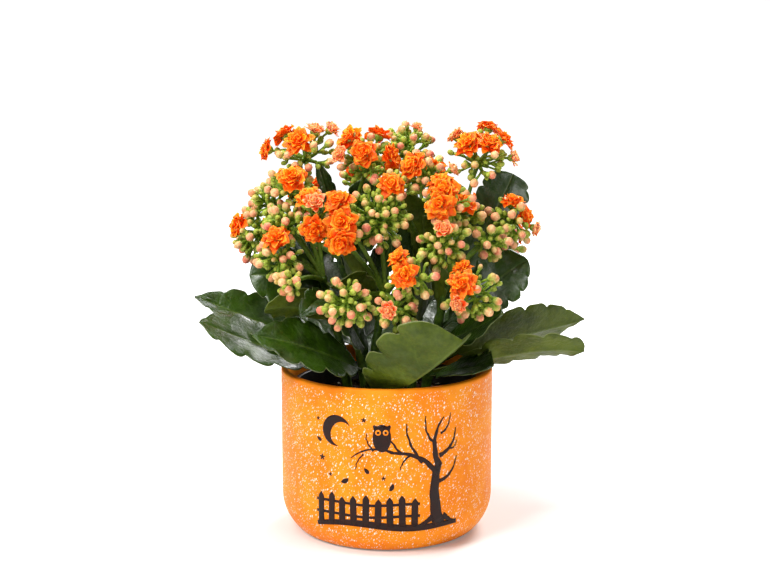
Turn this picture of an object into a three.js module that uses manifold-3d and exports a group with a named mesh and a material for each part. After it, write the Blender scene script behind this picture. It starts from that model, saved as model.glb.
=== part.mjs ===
// Potted kalanchoe with double orange flowers: a glazed cover pot, the plastic
// grower's pot inside it, the soil, five leafy shoots and their flower heads.
// Millimetres. The origin is the middle of the pot's underside, +Z is up and
// the side seen in the photograph faces -Y.
import * as THREE from "three";
import { mergeVertices } from "three/addons/utils/BufferGeometryUtils.js";
import Module from "manifold-3d";

const wasm = await Module();
wasm.setup();

// Driving dimensions
const GAP = 0.3;
const POT_RADIUS = 67.5;
const POT_HEIGHT = 105;
const POT_WALL = 4.5;
const POT_FLOOR = 6;
const POT_EDGE = 12;
const LINER_TOP_RADIUS = 59;
const LINER_FOOT_RADIUS = 46;
const LINER_HEIGHT = 88;
const LINER_WALL = 1.6;
const SOIL_TOP = 84;
const STEM_FOOT = 74;
const STEM_RADIUS = 3.2;
const STEM_TIP_RADIUS = 2.4;
const STALK_RADIUS = 1.3;
const LEAF_THICKNESS = 2;
const PETIOLE_THICKNESS = 2.8;
const SCALLOP_DEPTH = 0.26;
const CORE_RADIUS = 5;
const PEDICEL_RADIUS = 0.75;
const BUD_WIDTH = 5.7;
const BUD_LENGTH = 6.4;
const SPIRAL = 2.39996;

// Shoots: where each stem leaves the soil and where it ends
const SHOOTS = {
  left: { foot: [-24, -8], top: [-40, -22, 166] },
  front: { foot: [-12, -26], top: [0, -36, 160] },
  right: { foot: [24, -8], top: [40, -20, 166] },
  back_left: { foot: [-14, 18], top: [-30, 22, 172] },
  back_right: { foot: [16, 18], top: [26, 24, 172] },
};

// Leaves: shoot, height on the stem, the point the midrib bends towards, the
// tip, width, turn about the midrib, fold along it, how fast the tip tapers, and
// the scallops on each side
const LEAVES = [
  ["left", 112, [-79, -6, 133], [-121, -10, 151], 44, -24, 14, 0.85, 5],
  ["left", 103, [-77, -34, 122], [-114, -44, 142], 46, -26, 6, 0.6, 4],
  ["front", 104, [-41, -60, 130], [-80, -66, 138], 42, -40, 10, 0.8, 4],
  ["left", 134, [-53, -42, 157], [-73, -54, 152], 30, 42, 8, 0.5, 3],
  ["left", 132, [-51, -22, 170], [-85, -24, 167], 42, -62, 8, 0.5, 4],
  ["left", 150, [-39, -52, 163], [-52, -60, 148], 18, -40, 20, 0.8, 3],
  ["front", 138, [-21, -46, 175], [-33, -62, 167], 26, 30, 14, 0.7, 3],
  ["front", 95, [2, -61, 93], [44, -84, 139], 60, -15, 33, 0.3, 4],
  ["right", 102, [92, -44, 130], [121, -40, 123], 38, -36, 8, 0.6, 4],
  ["right", 110, [94, -6, 129], [126, 0, 135], 54, -44, 12, 1.1, 5],
  ["right", 128, [66, -16, 163], [88, -14, 175], 40, 52, 4, 0.6, 5],
  ["right", 150, [70, 10, 203], [80, 14, 226], 36, 70, 8, 0.4, 6],
  ["right", 120, [57, -40, 136], [70, -50, 149], 36, 40, 12, 0.6, 4],
  ["right", 100, [51, -50, 114], [65, -52, 117], 36, 20, 12, 0.6, 3],
  ["back_left", 160, [-35, 14, 206], [-45, 8, 235], 24, -60, 10, 0.9, 3],
  ["left", 150, [-60, 4, 184], [-76, 10, 201], 26, -60, 10, 0.7, 3],
  ["front", 148, [-24, -22, 170], [-32, -16, 193], 28, 60, 10, 0.7, 3],
  ["back_right", 130, [10, -6, 174], [3, -2, 197], 36, -70, 10, 0.6, 4],
  ["right", 138, [31, -14, 174], [23, -6, 202], 34, 60, 10, 0.7, 4],
  ["right", 104, [68, 34, 120], [100, 60, 126], 46, -10, 14, 0.7, 4],
  ["back_right", 104, [40, 66, 124], [56, 104, 140], 48, 12, 12, 0.6, 4],
  ["back_left", 106, [-36, 64, 126], [-52, 100, 146], 46, -12, 12, 0.7, 4],
  ["left", 118, [-70, 30, 130], [-106, 50, 140], 44, 10, 14, 0.7, 4],
  ["back_right", 132, [50, 50, 168], [62, 72, 190], 36, 20, 8, 0.6, 3],
  ["back_left", 128, [-46, 52, 160], [-72, 66, 176], 40, -20, 8, 0.6, 3],
  ["back_left", 98, [-2, 62, 112], [6, 100, 122], 44, 0, 14, 0.6, 4],
  ["back_right", 148, [8, 50, 190], [0, 60, 212], 34, 30, 10, 0.6, 3],
  ["back_left", 140, [-24, 20, 186], [-11, 12, 212], 44, 75, 8, 0.6, 4],
  ["back_right", 146, [14, 18, 190], [7, 10, 216], 38, 35, 8, 0.6, 3],
  ["back_left", 110, [-8, 6, 150], [4, 0, 186], 42, 66, 8, 0.6, 4],
  ["back_right", 110, [18, 6, 142], [15, -6, 174], 40, 55, 8, 0.6, 4],
  ["front", 112, [-22, -40, 138], [-30, -46, 158], 30, -60, 8, 0.6, 3],
  ["back_left", 164, [-16, 33, 194], [-6, 32, 222], 36, 70, 8, 0.6, 3],
  ["back_right", 162, [44, 26, 192], [48, 16, 218], 36, 30, 8, 0.6, 3],
];

// Flower heads: name, shoot, middle, open flowers as turn, rise, reach, width
// and openness, then the turn, rise and half angle of the cap the buds fill,
// its reach and the number of places in it
const HEADS = [
  ["head_01", "left", [-51, 5, 236],
    [[-175, 15, 28, 15, 1], [155, 45, 24, 17, 1], [-105, 40, 23, 20, 1], [-20, 70, 22, 14, 0.6],
      [0, 50, 27, 13, 0.4]], [-95, 50, 84, 22, 11]],
  ["head_02", "back_left", [-11, 0, 233],
    [[-142, 50, 27, 19, 1], [55, 60, 24, 16, 1], [-100, 26, 25, 17, 1], [-138, 18, 27, 12, 0.4],
      [-35, 20, 21, 16, 1]], [-90, 45, 85, 20, 10]],
  ["head_03", "back_right", [13, 20, 237], [[-50, 65, 22, 8, 0.3]], [-90, 60, 84, 20, 15]],
  ["head_04", "right", [57, 0, 234],
    [[165, 50, 24, 13, 0.6], [-120, 45, 22, 18, 1], [-60, 50, 21, 18, 1], [45, 65, 27, 15, 1],
      [0, 45, 25, 16, 1], [-5, 10, 24, 11, 0.5]], [-80, 45, 84, 21, 11]],
  ["head_05", "left", [-59, -12, 216], [[-85, 45, 20, 20, 1]], [-70, 50, 75, 18, 10]],
  ["head_06", "left", [-80, 0, 190], [[-165, 22, 18, 17, 1]], [-155, -5, 98, 19, 16]],
  ["head_07", "left", [-61, -22, 196], [], [-110, 45, 75, 18, 12]],
  ["head_08", "left", [-64, -32, 180], [[-105, 50, 21, 17, 1]], [-110, 20, 85, 17, 11]],
  ["head_09", "left", [-56, -55, 168], [], [-120, 0, 60, 12, 7]],
  ["head_10", "front", [-42, -30, 202],
    [[-120, 55, 22, 17, 1], [-95, 40, 23, 13, 0.6], [-95, -10, 21, 18, 1]], [-95, 30, 70, 18, 5]],
  ["head_11", "front", [-24, -40, 200],
    [[-115, 55, 23, 18, 1], [-100, 15, 22, 19, 1], [-100, -20, 24, 19, 1]], [-90, 20, 70, 18, 4]],
  ["head_12", "front", [-5, -30, 203], [], [-90, 20, 80, 22, 20]],
  ["head_13", "back_right", [4, -20, 215], [[-95, 35, 20, 16, 1]], [-90, 45, 70, 18, 6]],
  ["head_14", "back_right", [27, -10, 225],
    [[-135, 30, 22, 17, 1], [0, 75, 12, 16, 1], [-10, 25, 17, 10, 0.4]], [-80, 50, 80, 18, 8]],
  ["head_15", "right", [36, -35, 212],
    [[-120, 60, 20, 16, 1], [-100, 40, 20, 17, 1], [-105, 10, 21, 19, 1]], [-90, 25, 75, 18, 7]],
  ["head_16", "right", [44, -20, 203], [[-50, 55, 14, 17, 1]], [-50, 30, 80, 17, 11]],
  ["head_17", "front", [34, -45, 190], [[-90, 40, 19, 13, 0.6]], [-90, 0, 85, 17, 13]],
  ["head_18", "right", [78, -10, 200],
    [[-90, 75, 15, 14, 1], [-30, 20, 12, 14, 1], [-10, -20, 17, 11, 0.4]], [-95, -10, 90, 17, 15]],
  ["head_19", "right", [62, -25, 188], [], [-75, 0, 70, 14, 7]],
  ["head_20", "front", [-23, -60, 157], [], [-100, -5, 85, 18, 14]],
  ["head_21", "front", [13, -60, 172],
    [[-125, 50, 20, 14, 1], [-100, 15, 20, 17, 1]], [-80, 0, 85, 18, 8]],
  ["head_22", "front", [5, -62, 154], [[-105, 5, 17, 11, 0.6]], [-85, 0, 75, 16, 8]],
  ["head_23", "right", [50, -55, 162],
    [[-140, 65, 20, 13, 1], [-110, 25, 22, 18, 1], [-115, -10, 21, 11, 0.6]], [-75, -15, 85, 20, 12]],
  ["head_24", "back_left", [-44, 34, 198],
    [[150, 40, 22, 17, 1], [100, 60, 22, 18, 1], [110, 10, 22, 16, 1]], [110, 40, 80, 20, 9]],
  ["head_25", "back_left", [-64, 34, 182], [[160, 20, 20, 17, 1]], [150, 20, 80, 18, 10]],
  ["head_26", "back_left", [-14, 44, 214],
    [[110, 20, 22, 18, 1], [60, 40, 22, 18, 1], [140, 55, 20, 15, 0.7]], [90, 40, 80, 20, 9]],
  ["head_27", "back_right", [22, 46, 214],
    [[60, 30, 22, 18, 1], [120, 40, 22, 16, 1]], [90, 40, 80, 20, 11]],
  ["head_28", "back_right", [48, 36, 190],
    [[30, 50, 22, 18, 1], [70, 20, 22, 17, 1]], [50, 35, 85, 18, 10]],
  ["head_29", "right", [72, 34, 176], [[20, 30, 20, 17, 1]], [30, 20, 85, 18, 11]],
  ["head_30", "back_left", [-32, 60, 178], [[115, 25, 20, 18, 1]], [110, 10, 85, 18, 11]],
  ["head_31", "back_right", [32, 62, 180],
    [[60, 20, 21, 18, 1], [110, 30, 20, 12, 0.5]], [80, 10, 85, 18, 10]],
  ["head_32", "left", [-71, 0, 208], [], [-160, 45, 78, 18, 10]],
];

const GLAZE = { color: 0xf79b37, roughness: 0.6, metalness: 0 };
const PLASTIC = { color: 0x2b2a28, roughness: 0.6, metalness: 0 };
const EARTH = { color: 0x3a2a1e, roughness: 0.95, metalness: 0 };
const FOLIAGE = { color: 0x35501f, roughness: 0.45, metalness: 0 };
const FLOWERS = { color: 0xf57a1c, roughness: 0.6, metalness: 0 };

const radians = (degrees) => (degrees * Math.PI) / 180;
const point = (list) => new THREE.Vector3(list[0], list[1], list[2]);

// Solid from a triangle list, turned right side out
function solidOf(positions, triangles) {
  let volume = 0;
  const a = new THREE.Vector3();
  const b = new THREE.Vector3();
  const c = new THREE.Vector3();
  for (let i = 0; i < triangles.length; i += 3) {
    a.fromArray(positions, triangles[i] * 3);
    b.fromArray(positions, triangles[i + 1] * 3);
    c.fromArray(positions, triangles[i + 2] * 3);
    volume += a.dot(b.clone().cross(c));
  }
  const order = volume < 0 ? triangles.slice().reverse() : triangles;
  const mesh = new wasm.Mesh({
    numProp: 3,
    vertProperties: new Float32Array(positions),
    triVerts: new Uint32Array(order),
  });
  return new wasm.Manifold(mesh);
}

function solidFromGeometry(geometry) {
  geometry.deleteAttribute("normal");
  geometry.deleteAttribute("uv");
  const merged = mergeVertices(geometry, 1e-4);
  return solidOf(Array.from(merged.attributes.position.array), Array.from(merged.index.array));
}

// One body, with the slivers that the joins leave taken out
function joined(solids) {
  return solids.reduce((whole, solid) => whole.add(solid)).simplify(0.02);
}

function meshFrom(name, solid, look) {
  const mesh = solid.getMesh();
  const geometry = new THREE.BufferGeometry();
  geometry.setAttribute("position", new THREE.BufferAttribute(mesh.vertProperties, 3));
  geometry.setIndex(new THREE.BufferAttribute(mesh.triVerts, 1));
  geometry.computeVertexNormals();
  const result = new THREE.Mesh(geometry, new THREE.MeshStandardMaterial(look));
  result.name = name;
  return result;
}

// Solid turned about the Z axis from a closed profile of radius and height
function turned(profile, segments) {
  const outline = profile.concat([profile[0]]).map(([r, z]) => new THREE.Vector2(r, z));
  const geometry = new THREE.LatheGeometry(outline, segments);
  geometry.rotateX(Math.PI / 2);
  return solidFromGeometry(geometry);
}

// Closed skin over rings of points, closed flat at either end; a ring of one
// point is a pointed end
function skinned(rings) {
  const positions = [];
  const starts = [];
  rings.forEach((ring) => {
    starts.push(positions.length / 3);
    ring.forEach((p) => positions.push(p.x, p.y, p.z));
  });
  const triangles = [];
  for (let k = 0; k + 1 < rings.length; k++) {
    const m = rings[k].length;
    const n = rings[k + 1].length;
    const steps = Math.max(m, n);
    for (let i = 0; i < steps; i++) {
      const low = starts[k] + Math.floor((i * m) / steps) % m;
      const lowNext = starts[k] + Math.floor(((i + 1) * m) / steps) % m;
      const high = starts[k + 1] + Math.floor((i * n) / steps) % n;
      const highNext = starts[k + 1] + Math.floor(((i + 1) * n) / steps) % n;
      if (low !== lowNext) {
        triangles.push(low, lowNext, high);
      }
      if (high !== highNext) {
        triangles.push(lowNext, highNext, high);
      }
    }
  }
  const last = starts[rings.length - 1];
  for (let i = 1; i + 1 < rings[0].length; i++) {
    triangles.push(0, i + 1, i);
  }
  for (let i = 1; i + 1 < rings[rings.length - 1].length; i++) {
    triangles.push(last, last + i, last + i + 1);
  }
  return solidOf(positions, triangles);
}

// Two directions square to the given one
function across(direction) {
  const up = Math.abs(direction.z) < 0.9 ? new THREE.Vector3(0, 0, 1) : new THREE.Vector3(1, 0, 0);
  const u = direction.clone().cross(up).normalize();
  const v = direction.clone().cross(u);
  return [u, v];
}

function ringAt(centre, direction, radii, start) {
  const [u, v] = across(direction);
  return radii.map((radius, i) => {
    const angle = start + (2 * Math.PI * i) / radii.length;
    const p = centre.clone();
    p.addScaledVector(u, radius * Math.cos(angle));
    p.addScaledVector(v, radius * Math.sin(angle));
    return p;
  });
}

function bezier(a, b, c, t) {
  const p = a.clone().multiplyScalar((1 - t) * (1 - t));
  p.addScaledVector(b, 2 * t * (1 - t));
  p.addScaledVector(c, t * t);
  return p;
}

function bezierSlope(a, b, c, t) {
  const p = b.clone().sub(a).multiplyScalar(1 - t);
  p.addScaledVector(c.clone().sub(b), t);
  return p.normalize();
}

// Round rod of varying radius along a list of points
function rod(points, radii, sides) {
  const rings = points.map((p, i) => {
    const before = points[Math.max(i - 1, 0)];
    const after = points[Math.min(i + 1, points.length - 1)];
    const direction = after.clone().sub(before).normalize();
    return ringAt(p, direction, new Array(sides).fill(radii[i]), 0);
  });
  return skinned(rings);
}

// Point of a stem's axis at a height; it is upright in the soil, then leans
function stemPoint(shoot, height) {
  const { foot, top } = SHOOTS[shoot];
  const k = Math.min(Math.max((height - SOIL_TOP) / (top[2] - SOIL_TOP), 0), 1);
  const lean = k - 0.12 * Math.sin(Math.PI * k);
  return new THREE.Vector3(foot[0] + (top[0] - foot[0]) * lean, foot[1] + (top[1] - foot[1]) * lean, height);
}

function stem(shoot) {
  const top = SHOOTS[shoot].top[2];
  const heights = [STEM_FOOT, SOIL_TOP + 2, SOIL_TOP + 26, SOIL_TOP + 52, top];
  const points = heights.map((height) => stemPoint(shoot, height));
  const radii = heights.map((height) => {
    const k = Math.max(height - SOIL_TOP, 0) / (top - SOIL_TOP);
    return STEM_RADIUS + (STEM_TIP_RADIUS - STEM_RADIUS) * k;
  });
  return rod(points, radii, 8);
}

// Half width of a leaf along its blade, less the depth cut out of it
function halfWidth(s, width, taper, cut) {
  const peak = 0.7 / (0.7 + taper);
  const shape = (s ** 0.7 * (1 - s) ** taper) / (peak ** 0.7 * (1 - peak) ** taper);
  return Math.max((width / 2) * shape * (1 - cut), 1.2);
}

function leaf([shoot, height, bend, tip, width, turn, fold, taper, scallops]) {
  const a = stemPoint(shoot, height);
  const b = point(bend);
  const c = point(tip);
  const chord = c.clone().sub(a).normalize();
  const up = new THREE.Vector3(0, 0, 1).addScaledVector(chord, -chord.z).normalize();
  const petiole = 0.13;
  const depth = SCALLOP_DEPTH * Math.min(1, 4 / scallops);
  const stations = [[0, 1.4, PETIOLE_THICKNESS], [petiole, 1.6, PETIOLE_THICKNESS - 0.4]];
  for (let k = 0; k < scallops; k++) {
    const crest = 0.15 + (0.85 * (k + 0.45)) / scallops;
    const notch = 0.15 + (0.85 * (k + 1)) / scallops;
    stations.push([petiole + (1 - petiole) * crest, halfWidth(crest, width, taper, 0), LEAF_THICKNESS]);
    if (k + 1 < scallops) {
      stations.push([petiole + (1 - petiole) * notch, halfWidth(notch, width, taper, depth), LEAF_THICKNESS]);
    }
  }
  stations.push([1, 1.2, LEAF_THICKNESS]);
  const rings = stations.map(([t, half, thickness]) => {
    const middle = bezier(a, b, c, t);
    const along = bezierSlope(a, b, c, t);
    const normal = up.clone().addScaledVector(along, -along.dot(up)).normalize();
    const side = along.clone().cross(normal);
    const cos = Math.cos(radians(turn));
    const sin = Math.sin(radians(turn));
    const face = normal.clone().multiplyScalar(cos).addScaledVector(side, sin);
    const edge = side.clone().multiplyScalar(cos).addScaledVector(normal, -sin);
    const rise = Math.tan(radians(fold)) * half;
    const place = (across, lift) => {
      const p = middle.clone().addScaledVector(edge, across);
      return p.addScaledVector(face, lift);
    };
    return [place(-half, rise), place(0, thickness / 2), place(half, rise), place(0, -thickness / 2)];
  });
  const positions = [];
  rings.forEach((ring) => ring.forEach((p) => positions.push(p.x, p.y, p.z)));
  const triangles = [];
  for (let k = 0; k + 1 < rings.length; k++) {
    for (let i = 0; i < 4; i++) {
      const p = k * 4 + i;
      const q = k * 4 + ((i + 1) % 4);
      // Upper and lower faces are split along the same diagonals
      if (i < 2) {
        triangles.push(p, q, q + 4, p, q + 4, p + 4);
      } else {
        triangles.push(p, q, p + 4, q, q + 4, p + 4);
      }
    }
  }
  const last = (rings.length - 1) * 4;
  triangles.push(0, 2, 1, 0, 3, 2);
  triangles.push(last, last + 1, last + 2, last, last + 2, last + 3);
  return solidOf(positions, triangles);
}

// Flower stalk from the end of a stem to just under a head
function stalk(shoot, hub) {
  const start = stemPoint(shoot, SHOOTS[shoot].top[2] - 3);
  const bend = start.clone().lerp(hub, 0.45);
  bend.z += 0.16 * start.distanceTo(hub);
  const arrival = hub.clone().sub(bend).normalize();
  const end = hub.clone().addScaledVector(arrival, -(CORE_RADIUS + GAP));
  const points = [0, 0.4, 1].map((t) => bezier(start, bend, end, t));
  return rod(points, [STALK_RADIUS + 0.4, STALK_RADIUS + 0.2, STALK_RADIUS], 4);
}

function shoot(name) {
  const solids = [stem(name)];
  LEAVES.filter((spec) => spec[0] === name).forEach((spec) => solids.push(leaf(spec)));
  HEADS.filter((spec) => spec[1] === name).forEach((spec) => solids.push(stalk(name, point(spec[2]))));
  return joined(solids);
}

function heading(turn, rise) {
  const a = radians(turn);
  const b = radians(rise);
  return new THREE.Vector3(Math.cos(a) * Math.cos(b), Math.sin(a) * Math.cos(b), Math.sin(b));
}

// Double flower on its pedicel: layers of pointed petals stacked on one
// another, flat when open and steep when half open
function bloom(hub, direction, reach, width, openness) {
  const layers = width >= 19 ? 3 : 2;
  const radius = width / 2;
  const base = hub.clone().addScaledVector(direction, reach - width * 0.3);
  const level = (height) => base.clone().addScaledVector(direction, height * width);
  const neck = new Array(3).fill(PEDICEL_RADIUS);
  const start = hub.clone().addScaledVector(direction, CORE_RADIUS * 0.4);
  const rings = [ringAt(start, direction, neck, 0), ringAt(level(0), direction, neck, 0)];
  for (let k = 0; k < layers; k++) {
    const open = 0.13 + 0.13 * k;
    const shut = 0.36 + 0.06 * k;
    const height = shut + (open - shut) * openness;
    const outer = radius * (1 - 0.27 * k);
    const petals = [];
    for (let i = 0; i < 12; i++) {
      petals.push(outer * (i % 2 === 0 ? 1 : 0.74));
    }
    rings.push(ringAt(level(height), direction, petals, k * 0.5));
    if (k + 1 < layers) {
      rings.push(ringAt(level(height * 0.8 + 0.06), direction, new Array(6).fill(outer * 0.42), k * 0.5 + 0.26));
    }
  }
  rings.push([level(0.2 + 0.06 * layers)]);
  return skinned(rings);
}

// Bud on its pedicel in one skin
function bud(hub, direction, reach, size) {
  const at = (distance) => hub.clone().addScaledVector(direction, distance);
  const start = CORE_RADIUS * 0.4;
  const base = reach - BUD_LENGTH * size * 0.5;
  const stalkRing = new Array(3).fill(PEDICEL_RADIUS);
  const wide = new Array(5).fill((BUD_WIDTH * size) / 2);
  return skinned([
    ringAt(at(start), direction, stalkRing, 0),
    ringAt(at(base), direction, stalkRing, 0),
    ringAt(at(reach + 0.2), direction, wide, 0),
    [at(reach + BUD_LENGTH * size * 0.5)],
  ]);
}

// Places of the buds: a spiral over a cap, kept clear of the open flowers of
// the same head and of the buds and flowers of the heads before it
const taken = [];

function budPlaces(name, hub, flowers, [turn, rise, cap, reach, count]) {
  const axis = heading(turn, rise);
  const [u, v] = across(axis);
  const places = [];
  for (let i = 0; i < count; i++) {
    const level = 1 - ((1 - Math.cos(radians(cap))) * (i + 0.5)) / count;
    const spread = Math.sqrt(1 - level * level);
    const direction = axis.clone().multiplyScalar(level);
    direction.addScaledVector(u, spread * Math.cos(i * SPIRAL));
    direction.addScaledVector(v, spread * Math.sin(i * SPIRAL));
    const distance = reach - 2 * (i % 3);
    const centre = hub.clone().addScaledVector(direction, distance);
    const size = 1 - 0.12 * (i % 4 === 3);
    const nearFlower = flowers.some(([a, b, , width]) => {
      return heading(a, b).angleTo(direction) < radians(12 + 1.6 * width / 2);
    });
    const blocked = taken.some((ball) => {
      return ball.head !== name && ball.centre.distanceTo(centre) < ball.radius + 3.6;
    });
    if (!nearFlower && !blocked && i % 5 % 2 === 0) {
      places.push({ direction, distance, centre, size });
    }
  }
  return places;
}

function flowerHead([name, , middle, flowers, cap]) {
  const hub = point(middle);
  const core = new THREE.OctahedronGeometry(CORE_RADIUS, 0);
  core.translate(hub.x, hub.y, hub.z);
  const solids = [solidFromGeometry(core)];
  for (const [turn, rise, reach, width, openness] of flowers) {
    const direction = heading(turn, rise);
    solids.push(bloom(hub, direction, reach, width, openness));
  }
  for (const { direction, distance, size } of budPlaces(name, hub, flowers, cap)) {
    solids.push(bud(hub, direction, distance, size));
  }
  return joined(solids);
}

function takePlaces([name, , middle, flowers]) {
  const hub = point(middle);
  taken.push({ head: name, centre: hub, radius: CORE_RADIUS });
  for (const [turn, rise, reach, width] of flowers) {
    const centre = hub.clone().addScaledVector(heading(turn, rise), reach - width * 0.1);
    taken.push({ head: name, centre, radius: width * 0.42 });
  }
}

// Cover pot: straight wall, thin rounded rim, well rounded bottom edge
function coverPot() {
  const profile = [[0, 0], [POT_RADIUS - POT_EDGE, 0]];
  for (let i = 1; i <= 4; i++) {
    const a = radians(22.5 * i);
    profile.push([POT_RADIUS - POT_EDGE + POT_EDGE * Math.sin(a), POT_EDGE - POT_EDGE * Math.cos(a)]);
  }
  const inside = POT_RADIUS - POT_WALL;
  profile.push([POT_RADIUS, POT_HEIGHT - 1.4], [POT_RADIUS - 1.4, POT_HEIGHT]);
  profile.push([inside + 1.4, POT_HEIGHT], [inside, POT_HEIGHT - 1.4], [inside, POT_FLOOR + 9]);
  profile.push([inside - 9, POT_FLOOR], [0, POT_FLOOR]);
  return turned(profile, 40);
}

// Grower's pot standing on the floor of the cover pot
function nurseryPot() {
  const foot = POT_FLOOR + GAP;
  const top = foot + LINER_HEIGHT;
  const lip = LINER_TOP_RADIUS + 1.2;
  return turned([
    [0, foot], [LINER_FOOT_RADIUS, foot], [LINER_TOP_RADIUS - 1.5, top - 8], [lip, top - 8],
    [lip, top], [LINER_TOP_RADIUS - LINER_WALL, top],
    [LINER_FOOT_RADIUS - LINER_WALL, foot + LINER_WALL], [0, foot + LINER_WALL],
  ], 24);
}

// Soil with a plain hole for each stem
function soil() {
  const foot = POT_FLOOR + GAP + LINER_WALL + GAP;
  const slope = (LINER_TOP_RADIUS - LINER_FOOT_RADIUS) / (LINER_HEIGHT - LINER_WALL);
  const radiusAt = (z) => LINER_FOOT_RADIUS - LINER_WALL - GAP * 1.5 + (z - foot) * slope;
  let body = turned([
    [0, foot], [radiusAt(foot), foot], [radiusAt(SOIL_TOP - 2), SOIL_TOP - 2],
    [radiusAt(SOIL_TOP - 2) - 4, SOIL_TOP], [0, SOIL_TOP],
  ], 24);
  for (const { foot: [x, y] } of Object.values(SHOOTS)) {
    const hole = new THREE.CylinderGeometry(STEM_RADIUS + GAP + 0.2, STEM_RADIUS + GAP + 0.2, 20, 10);
    hole.rotateX(Math.PI / 2);
    hole.translate(x, y, STEM_FOOT - GAP + 10);
    body = body.subtract(solidFromGeometry(hole));
  }
  return body;
}

const plant = new THREE.Group();
plant.name = "potted_kalanchoe";
plant.add(meshFrom("pot", coverPot(), GLAZE));
plant.add(meshFrom("nursery_pot", nurseryPot(), PLASTIC));
plant.add(meshFrom("soil", soil(), EARTH));
for (const name of Object.keys(SHOOTS)) {
  plant.add(meshFrom(`shoot_${name}`, shoot(name), FOLIAGE));
}
HEADS.forEach(takePlaces);
for (const head of HEADS) {
  plant.add(meshFrom(head[0], flowerHead(head), FLOWERS));
}

export default plant;
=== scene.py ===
"""Double-flowered orange kalanchoe in a speckled cover pot, dressed for the render.

Lengths are written in millimetres and put into the meshes in metres. The origin
is the middle of the pot's underside, +Z is up and the pictured side faces -Y.
"""

import bpy
import numpy as np
from numpy import arange, array, concatenate, cos, linspace, pi, radians, sin
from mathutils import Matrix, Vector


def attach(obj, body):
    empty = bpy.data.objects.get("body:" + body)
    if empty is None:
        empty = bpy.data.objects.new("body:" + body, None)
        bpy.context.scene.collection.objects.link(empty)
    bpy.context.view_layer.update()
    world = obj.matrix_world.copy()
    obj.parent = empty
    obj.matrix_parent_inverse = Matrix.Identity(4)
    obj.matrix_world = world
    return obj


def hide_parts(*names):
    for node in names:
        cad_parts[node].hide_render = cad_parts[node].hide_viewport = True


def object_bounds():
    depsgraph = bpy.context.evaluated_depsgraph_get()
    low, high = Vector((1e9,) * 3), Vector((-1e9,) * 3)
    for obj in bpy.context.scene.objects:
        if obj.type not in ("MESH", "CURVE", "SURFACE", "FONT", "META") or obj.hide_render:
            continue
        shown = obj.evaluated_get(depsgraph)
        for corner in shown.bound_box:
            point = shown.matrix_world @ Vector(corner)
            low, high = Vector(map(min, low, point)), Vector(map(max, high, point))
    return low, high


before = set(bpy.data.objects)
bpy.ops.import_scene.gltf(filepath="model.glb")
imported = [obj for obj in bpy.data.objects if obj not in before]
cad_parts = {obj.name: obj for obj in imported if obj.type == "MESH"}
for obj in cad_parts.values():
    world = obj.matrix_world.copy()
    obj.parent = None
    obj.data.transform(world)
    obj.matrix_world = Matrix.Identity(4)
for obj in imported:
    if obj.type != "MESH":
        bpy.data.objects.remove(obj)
cad_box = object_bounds()
MM = 0.001

# Sizes shared with the part's source
POT_RADIUS, POT_HEIGHT, POT_WALL, POT_FLOOR, POT_EDGE = 67.5, 105.0, 4.5, 6.0, 12.0
LINER_TOP, LINER_FOOT, LINER_HEIGHT, LINER_WALL = 59.0, 46.0, 88.0, 1.6
SOIL_TOP, STEM_FOOT = 84.0, 74.0
STEM_RADIUS, STEM_TIP_RADIUS, STALK_RADIUS = 3.2, 2.4, 1.3
LEAF_THICKNESS, SCALLOP_DEPTH, PETIOLE = 2.0, 0.26, 0.13
CORE_RADIUS, BUD_WIDTH, BUD_LENGTH, SPIRAL = 5.0, 5.7, 6.2, 2.39996

# Sizes of the finer surfaces: the stretch over which points are eased into the
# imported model's box, the soil's radius, how far the print stands proud and how
# deep it is sunk, and how much wider flowers are drawn than their flat layers
EASE, SOIL_RADIUS, FILM, SUNK, FULLNESS = 2.0, 55.0, 0.14, -0.3, 1.07

# Where each stem leaves the soil and where it ends
SHOOTS = {
    "left": ((-24, -8), (-40, -22, 166)),
    "front": ((-12, -26), (0, -36, 160)),
    "right": ((24, -8), (40, -20, 166)),
    "back_left": ((-14, 18), (-30, 22, 172)),
    "back_right": ((16, 18), (26, 24, 172)),
}

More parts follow.
